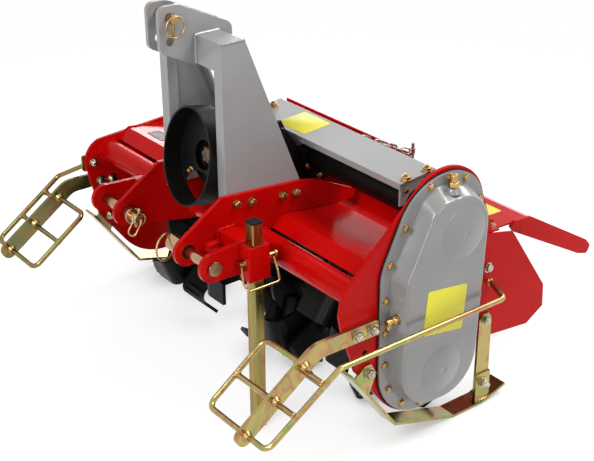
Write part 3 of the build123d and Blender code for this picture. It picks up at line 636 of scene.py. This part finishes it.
def sticker(name, corners, out, body, slot, mat, thick=0.4):
    """Thin blank panel with cut corners over four points in metres, standing out along a direction."""
    bm = bmesh.new()
    out = Vector(out).normalized()
    centre = sum(corners, Vector()) / len(corners)
    outline = []
    for i, corner in enumerate(corners):
        for other in (corners[i - 1], corners[(i + 1) % len(corners)]):
            outline.append(corner + (other - corner).normalized() * 0.004)
    rings = []
    for lift, inset in ((0.02, 0.0), (thick * 0.7, 0.0), (thick, 0.0003)):
        rings.append([
            bm.verts.new(p + (centre - p).normalized() * inset + out * lift / 1000)
            for p in outline
        ])
    skin(bm, rings)
    return piece(name, bm, body, slot, mat)


def panel(x_range, y_range, slope):
    """Corners of an upright rectangle, as seen from above, on a slope."""
    (x0, x1), (y0, y1) = x_range, y_range
    return [point(x, y, height_at(y, slope)) for x, y in ((x0, y0), (x1, y0), (x1, y1), (x0, y1))]


case_label = [point(CASE_FACE, *p) for p in ((321, -42), (430, -57), (420, -160), (311, -141))]
sticker("blank_case_sticker", case_label, RIGHT, "frame", "light_grey_paint", STICKER)
cover_label = panel((HITCH_X - 44, HITCH_X + 52), (356, 434), COVER_TOP)
sticker("blank_cover_sticker", cover_label, COVER_OUT, "frame", "light_grey_paint", STICKER)
board_label = panel((324, 394), (625, 672), BOARD)
sticker("blank_board_sticker", board_label, (0, 0.04, 1), "tail_board", "red_paint", STICKER)
plate = panel((HITCH_X - 462, HITCH_X - 392), (262, 300), DECK)
sticker("blank_deck_plate", plate, (0, 0.11, 1), "frame", "black_plastic", MATS["black_plastic"], 0.9)

# ------------------------------------------------------------------ hitch pins, lynch pins and rings

bm = bmesh.new()
# side, length of the sleeve inside the inner plate, the pin's end from the hitch's middle
for toward, sleeve, end in ((1, 50, 60), (-1, 25, 68)):
    inward = (-toward, 0, 0)
    profile = [(11.1, 0), (17.6, 0), (17.9, 1), (17.9, sleeve - 1), (17.0, sleeve), (11.1, sleeve)]
    lathe(bm, profile, aim(point(HITCH_X + toward * ARM_IN, 0, 0), inward), 36)
    profile = [(0, -32), (11.2, -32), (11.2, -2), (9, 0.5), (0, 0.5)]
    lathe(bm, profile, aim(point(HITCH_X + toward * end, 0, 0), inward), 32)
    # rolled edge of the head outside the outer plate
    profile = [(0, -6.8), (15.2, -6.8), (15.6, -4), (15.4, -1.4), (13.4, 0.4), (12.4, 0.1), (0, 0.6)]
    lathe(bm, profile, aim(point(HITCH_X + toward * PIN_HEAD, 0, 0), (toward, 0, 0)), 36)
piece("hitch_pin_collars", bm, "frame", "zinc_plate", PIN_ZINC)

# black rings round the pins on the inner plates' outer faces: painted shade of a gap round each pin
bm = bmesh.new()
for toward in (1, -1):
    face = aim(point(HITCH_X + toward * ARM_FACE, 0, 0), (toward, 0, 0))
    lathe(bm, [(11.2, -1), (15.6, -1), (15.6, 0.3), (11.2, 0.3)], face, 36)
piece("hitch_pin_shade_rings", bm, "frame", "black_plastic")

bm = bmesh.new()
# right pin: shank across its end, and a large ring in front of it
sweep(bm, [point(HITCH_X + 63, -6, 14), point(HITCH_X + 63, 6, -20)], 3.8, sides=14)
wire_ring(bm, point(HITCH_X + 62, -14, -9), (-0.3, 0.95, 0), UP, 30, 2.2, 52)
# left pin: shank across its end, a ring round it and a long loop that hangs from it
sweep(bm, [point(HITCH_X - 73, -5, -18), point(HITCH_X - 73, 6, 21)], 3.6, sides=14)
lathe(bm, [(0, 0), (5.4, 0), (5.8, 2), (4.6, 5), (0, 6)], aim(point(HITCH_X - 73, 5, 18), (0, 0.2, 1)), 20)
wire_ring(bm, point(HITCH_X - 71, 4, -2), REAR, UP, 14, 2.0, 40)
hang = Vector((0, -0.55, -0.83)).normalized()
wide = Vector((0.6, 0.7, -0.46)).normalized()
link(bm, point(HITCH_X - 71, -9, -16), hang, wide, 12, 8.5, 2.0, 12)
# top-link pin: shank through its right end with a ring round it, and the domed ends
y, z = TOP_HOLE
sweep(bm, [point(HITCH_X + 38, y, z + 11), point(HITCH_X + 38, y, z - 36)], 3.6, sides=14)
wire_ring(bm, point(HITCH_X + 44, y + 2, z - 15), REAR, UP, 21.5, 2.0, 48)
lathe(bm, [(0, 0), (14.4, 0), (14.8, 1), (14.4, 6), (0, 7)], aim(point(HITCH_X - 38, y, z), (-1, 0, 0)), 32)
lathe(bm, [(0, 0), (9.7, 0), (8.2, 2.2), (0, 2.6)], aim(point(HITCH_X + 43.6, y, z), RIGHT), 28)
piece("lynch_pins", bm, "frame", "zinc_plate", BOLT_ZINC)

# ------------------------------------------------------------------ welds

bm = bmesh.new()
for toward in (1, -1):
    # ears on the mast's head, and the head between the uprights
    x = HITCH_X + toward * (EAR_FACE + 1)
    weld(bm, [point(x, 103, 356), point(x, 103, MAST_TOP), point(x, 161, MAST_TOP)], 3.8, 3.4)
    x = HITCH_X + toward * (ARM_IN - 1)
    weld(bm, [point(x, 105, MAST_TOP), point(x, 161, MAST_TOP)], 2.4)
# the beads' lighter grey is painted highlight
piece("mast_welds", bm, "frame", "grey_paint", HIGHLIT_WELD_GREY)

bm = bmesh.new()
for toward in (1, -1):
    # front tube: at both faces of the inner hitch plate, and at the side plate
    for out in (ARM_FACE + 0.5, ARM_IN - 0.5):
        middle = point(HITCH_X + toward * out, *TUBE)
        weld(bm, arc(middle, UP, FRONT, TUBE_R + 0.5, -0.4, 2.9, 22), 2.8)
    side_x = toward * (SIDE_OUT - SIDE_T - 0.5)
    weld(bm, arc(point(side_x, *TUBE), UP, FRONT, TUBE_R + 1, steps=40), 3.0)
    # seam of the deck to the side plate
    deck = [point(side_x, y, z + 0.8) for y, z in ((214, -6), (243, 14), (300, 7.6), (395, -3))]
    weld(bm, deck, 2.4)
# right arm's box: beads round its front and along its top, and the stub in front of it
x = HITCH_X + ARM_FACE + 1
weld(bm, [point(x, 74.5, -30), point(x, 74.5, 27), point(x, 114, 27)], 4.0, 3.0)
weld(bm, [point(x + 1, 75, 26.5), point(HITCH_X + 212, 75, 26.5)], 2.4, 3.0)
stub = [(0, 0), (7.5, 0), (9.5, 1.2), (10.4, 3.6), (10.4, 38), (0, 38)]
lathe(bm, stub, aim(point(HITCH_X + 132, 39, 0), REAR), 28)
# stand sleeve to its plate
weld(bm, [point(HITCH_X + 211.5, 67.5, 30), point(HITCH_X + 211.5, 67.5, -34)], 2.8)
weld(bm, [point(HITCH_X + 212, 68, 31.5), point(HITCH_X + 212, 112, 31.5)], 2.2)
weld(bm, [point(HITCH_X + 200, 67, 30), point(HITCH_X + 200, 67, -33)], 1.6)
# hinge lugs to the hood
for x in (-330, -130, 130, 330):
    for edge in (-5, 5):
        weld(bm, [point(x + edge, 560, 4), point(x + edge, 582, 3)], 1.8)
piece("frame_welds", bm, "frame", "red_paint")

bm = bmesh.new()
dome = [(0, -1), (10.6, -1), (11, 0.6), (10, 2.6), (7.6, 5), (6, 7.2), (0, 7.2)]
for toward in (1, -1):
    # where rods pass through the bar: a dome on both of its faces
    for y, z in ((41, -125), (-30, -176), (-99, -225)):
        lathe(bm, dome, aim(point(toward * (SIDE_OUT + BAR_T), y, z), (toward, 0, 0)), 28)
        lathe(bm, dome, aim(point(toward * SIDE_OUT, y, z), (-toward, 0, 0)), 28)
    # where the cross rods end at the bent rod
    for x, y, z in ((ROD_OUT - 5, 38, -134), (ROD_OUT - 5, -30, -179), (ROD_IN + 5, -30, -179)):
        collar_weld(bm, point(toward * x, y, z), 6.2, 18, 1.8, 1.6)
    # foot of the skid's rear strap
    weld(bm, [point(toward * 504.3, 508, -397.5), point(toward * 504.3, 550, -395.5)], 2.0)
# the bent rods' own ends
for x, y, z in ((495, 540, -110), (-497, 122, -62)):
    collar_weld(bm, point(x, y, z), 6.6, 20, 2.2, 1.8)
piece("guard_welds", bm, "frame", "zinc_plate", BOLT_ZINC)

# ------------------------------------------------------------------ splined drive shaft end

PTO_TIP = 51.0          # its tip, depth behind the guard's rim
PTO_R = 17.45           # over its six splines
ROOT_R = 14.8           # and between them
# one spline: degrees from its middle, radius
SPLINE = [(-14, ROOT_R), (-13, PTO_R - 0.05), (-4, PTO_R), (4, PTO_R), (13, PTO_R - 0.05), (14, ROOT_R)]

bm = bmesh.new()
outline = []
for k in range(6):
    for degrees, radius in SPLINE:
        a = math.radians(60 * k + degrees)
        outline.append((radius * math.cos(a), radius * math.sin(a)))
tip = aim(gear_point(PTO_TIP), -GEAR_OUT)
prism(bm, outline, 1.2, 14, tip)
prism(bm, [(x * 0.93, y * 0.93) for x, y in outline], 0, 1.2, tip)
# locking groove, the splines behind it, and the smooth journal
lathe(bm, [(0, 14), (ROOT_R, 14), (ROOT_R, 21), (0, 21)], tip, 36)
prism(bm, outline, 21, 40, tip)
lathe(bm, [(0, 40), (15.9, 40), (15.9, 109), (0, 109)], tip, 36)
# centre mark
lathe(bm, [(0, -0.6), (3, -0.6), (4.5, 0.5), (0, 0.5)], tip, 20)
# the shaft's steel colours are painted shade of its guard
shaft = piece("splined_input_shaft", bm, "pto_shaft", "bare_steel")
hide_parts("pto_shaft")

# ------------------------------------------------------------------ support chain

CHAIN_FROM = point(HITCH_X, 462, 119)
CHAIN_TO = point(HITCH_X + 34, 684, 14)
LINK_PITCH = 0.020      # metres

bm = bmesh.new()
run = CHAIN_TO - CHAIN_FROM
links = int(run.length / LINK_PITCH)
along = run.normalized()
upright = along.cross(RIGHT).normalized()
flat = upright.cross(along).normalized()
for i in range(links):
    middle = CHAIN_FROM + run * ((i + 0.6) / links)
    link(bm, middle, along, upright if i % 2 else flat, 7.5, 6.6, 2.3, 8)
chain = piece("chain_links", bm, "support_chain", "zinc_plate", CHAIN_ZINC)
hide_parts("support_chain")

# ring and stud that hold the chain on the tail board
bm = bmesh.new()
x, y, z = HITCH_X + 34, 700, 6
wire_ring(bm, point(x, y - 4, z + 2), (0, 1, 0.2), (0, -0.2, 1), 9, 2.6, 28)
sweep(bm, [point(x, y, z - 12), point(x, y, z + 26)], 4.0, sides=14)
lathe(bm, [(0, 0), (7, 0), (7, 3), (5, 4), (0, 4)], aim(point(x, y, z + 10), UP), 20)
piece("chain_eye", bm, "tail_board", "zinc_plate", CHAIN_ZINC)

# ------------------------------------------------------------------ rotor fasteners

FLANGES, FLANGE_PITCH = 6, 147.2
BLADE_FACE = 13.0       # outer face of a flange's blades, from the flange's middle
FIRST_BLADE = 7.6       # its place round the shaft, in degrees
TWIST = 75.9            # from one flange to the next
SIDE_TURN = 20.7        # from the blades on a flange's left to those on its right

bm = bmesh.new()
for i in range(FLANGES):
    flange_x = (i - (FLANGES - 1) / 2) * FLANGE_PITCH
    for toward, turn in ((1, SIDE_TURN), (-1, 0)):
        for k in range(3):
            a = math.radians(FIRST_BLADE + i * TWIST + turn + 120 * k)
            for radius in (56, 74):
                seat = round_point(flange_x + toward * BLADE_FACE, ROTOR, radius, a)
                bolt(bm, seat, (toward, 0, 0), 10, washer=False, spin=a + radius)
piece("tine_bolts", bm, "rotor", "black_paint")

# ------------------------------------------------------------------ stand details

bm = bmesh.new()
pin_x, pin_z = STAND_PIN
for y, out in ((SLEEVE[0], FRONT), (SLEEVE[1], REAR)):
    lathe(bm, [(6.1, 0), (11, 0), (11, 2.2), (6.1, 2.2)], aim(point(pin_x, y, pin_z), out))
button = [(0, 0), (7.6, 0), (8, 1), (7.6, 5), (6, 6.4), (0, 6.4)]
lathe(bm, button, aim(point(pin_x, SLEEVE[1] + 23.5, pin_z), REAR))
piece("stand_pin_washers", bm, "frame", "zinc_plate", BOLT_ZINC)

# ------------------------------------------------------------------ floor

FLOOR_HALF = 9.0                # in metres, as are the next two and CONTACT
NEAR, FAR = 0.7, 2.4            # the floor takes shadows within NEAR and is plain white beyond FAR
CONTACT = 0.16                  # how close the machine has to be to dim the floor's glow
FLOOR_WHITE = 0.82
GLOW_NEAR = 1.41                # strength of the glow within NEAR
GLOW_SHARE = 0.55               # and its share in what is seen of the floor there
OPEN_LOW, OPEN_HIGH = 0.2, 0.9  # how open the floor is where the glow is dimmed most, and where it isn't
DIMMED = 0.5


def seen_rays(tree):
    """1 for camera, glossy and transmission rays, 0 for the rest."""
    rays = tree.nodes.new("ShaderNodeLightPath").outputs
    seen = combine(tree, "MAXIMUM", rays["Is Camera Ray"], rays["Is Glossy Ray"])
    return combine(tree, "MAXIMUM", seen, rays["Is Transmission Ray"])


def mix_shaders(tree, factor, first, second, output):
    """Links the mix of two shaders to an output node."""
    node = tree.nodes.new("ShaderNodeMixShader")
    tree.links.new(factor, node.inputs[0])
    tree.links.new(first.outputs[0], node.inputs[1])
    tree.links.new(second.outputs[0], node.inputs[2])
    tree.links.new(node.outputs[0], output.inputs[0])


def floor_material():
    """Pale floor: diffuse for the light on the object, mixed with a glow for what is seen of the floor."""
    mat = bpy.data.materials.new("pale_floor")
    mat.use_nodes = True
    tree = mat.node_tree
    tree.nodes.clear()
    out = tree.nodes.new("ShaderNodeOutputMaterial")
    diffuse = tree.nodes.new("ShaderNodeBsdfDiffuse")
    diffuse.inputs["Color"].default_value = (FLOOR_WHITE, FLOOR_WHITE, FLOOR_WHITE, 1)
    glow = tree.nodes.new("ShaderNodeEmission")
    # near the machine the floor takes shadows; further out it is plain white
    spot = tree.nodes.new("ShaderNodeTexCoord")
    reach = tree.nodes.new("ShaderNodeVectorMath")
    reach.operation = "LENGTH"
    tree.links.new(spot.outputs["Object"], reach.inputs[0])
    distance = reach.outputs["Value"]
    strength = map_range(tree, distance, (NEAR, FAR), (GLOW_NEAR, 1.0), "SMOOTHSTEP")
    share = map_range(tree, distance, (NEAR, FAR), (GLOW_SHARE, 1.0), "SMOOTHSTEP")
    # the glow fades where the machine stands close over the floor, so contact shadows stay
    open_sky = tree.nodes.new("ShaderNodeAmbientOcclusion")
    open_sky.samples = 12
    open_sky.inputs["Distance"].default_value = CONTACT
    fade = map_range(tree, open_sky.outputs["AO"], (OPEN_LOW, OPEN_HIGH), (DIMMED, 1.0))
    tree.links.new(combine(tree, "MULTIPLY", strength, fade), glow.inputs["Strength"])
    mix_shaders(tree, combine(tree, "MULTIPLY", seen_rays(tree), share), diffuse, glow, out)
    return mat


floor_mesh = bpy.data.meshes.new("floor")
floor_corners = [(x * FLOOR_HALF, y * FLOOR_HALF, 0) for x, y in ((-1, -1), (1, -1), (1, 1), (-1, 1))]
floor_mesh.from_pydata(floor_corners, [], [(0, 1, 2, 3)])
floor_mesh.materials.append(floor_material())
floor = bpy.data.objects.new("floor", floor_mesh)
bpy.context.scene.collection.objects.link(floor)

# ------------------------------------------------------------------ light

SOFT_LIGHT = 0.22       # strength of the world on the object; what is seen of it is white

world = bpy.data.worlds.new("studio")
bpy.context.scene.world = world
world.use_nodes = True
tree = world.node_tree
tree.nodes.clear()
out = tree.nodes.new("ShaderNodeOutputWorld")
soft = tree.nodes.new("ShaderNodeBackground")
soft.inputs["Color"].default_value = (0.95, 0.97, 1, 1)
soft.inputs["Strength"].default_value = SOFT_LIGHT
white = tree.nodes.new("ShaderNodeBackground")
white.inputs["Color"].default_value = (1, 1, 1, 1)
mix_shaders(tree, seen_rays(tree), soft, white, out)


def lamp(name, place, target, size, watts):
    """Rectangular area lamp at a place, turned to a target, in metres."""
    data = bpy.data.lights.new(name, "AREA")
    data.shape = "RECTANGLE"
    data.size, data.size_y = size
    data.energy = watts
    obj = bpy.data.objects.new(name, data)
    obj.location = place
    obj.rotation_euler = (Vector(target) - Vector(place)).to_track_quat("-Z", "Y").to_euler()
    bpy.context.scene.collection.objects.link(obj)


lamp("key", (0.6, -2.9, 2.7), (0, 0, 0.4), (1.4, 1.4), 78)
lamp("fill", (3.4, 0.6, 1.2), (0, 0, 0.4), (1.2, 1.6), 17)
lamp("front", (2.3, -2.5, 0.95), (0.2, -0.2, 0.4), (0.7, 0.7), 16)
lamp("back", (-0.5, 3.1, 2.4), (0, 0, 0.4), (2.0, 1.2), 48)
lamp("left", (-2.4, 1.5, 0.95), (-0.4, -0.1, 0.4), (1.3, 0.7), 24)
lamp("top", (1.2, 1.3, 2.9), (0, 0, 0.2), (1.2, 1.2), 70)

# ------------------------------------------------------------------ camera

CAMERA_AT = (2.14356, -1.62876, 1.59482)
CAMERA_LENS = 77.46
# degrees: where it stands round the machine from the front, its height angle and its tilt
azimuth, elevation, roll = (math.radians(a) for a in (52.62, 26.19, -0.42))
back = Vector((
    math.sin(azimuth) * math.cos(elevation),
    -math.cos(azimuth) * math.cos(elevation),
    math.sin(elevation),
))
level = (-back).cross(UP).normalized()
tilted = math.cos(roll) * level + math.sin(roll) * back.cross(level)
camera_data = bpy.data.cameras.new("camera")
camera_data.lens = CAMERA_LENS
camera = bpy.data.objects.new("camera", camera_data)
axes = Matrix((tilted, back.cross(tilted), back)).transposed().to_4x4()
camera.matrix_world = Matrix.Translation(CAMERA_AT) @ axes
bpy.context.scene.collection.objects.link(camera)
bpy.context.scene.camera = camera
bpy.context.scene.view_settings.view_transform = "Standard"
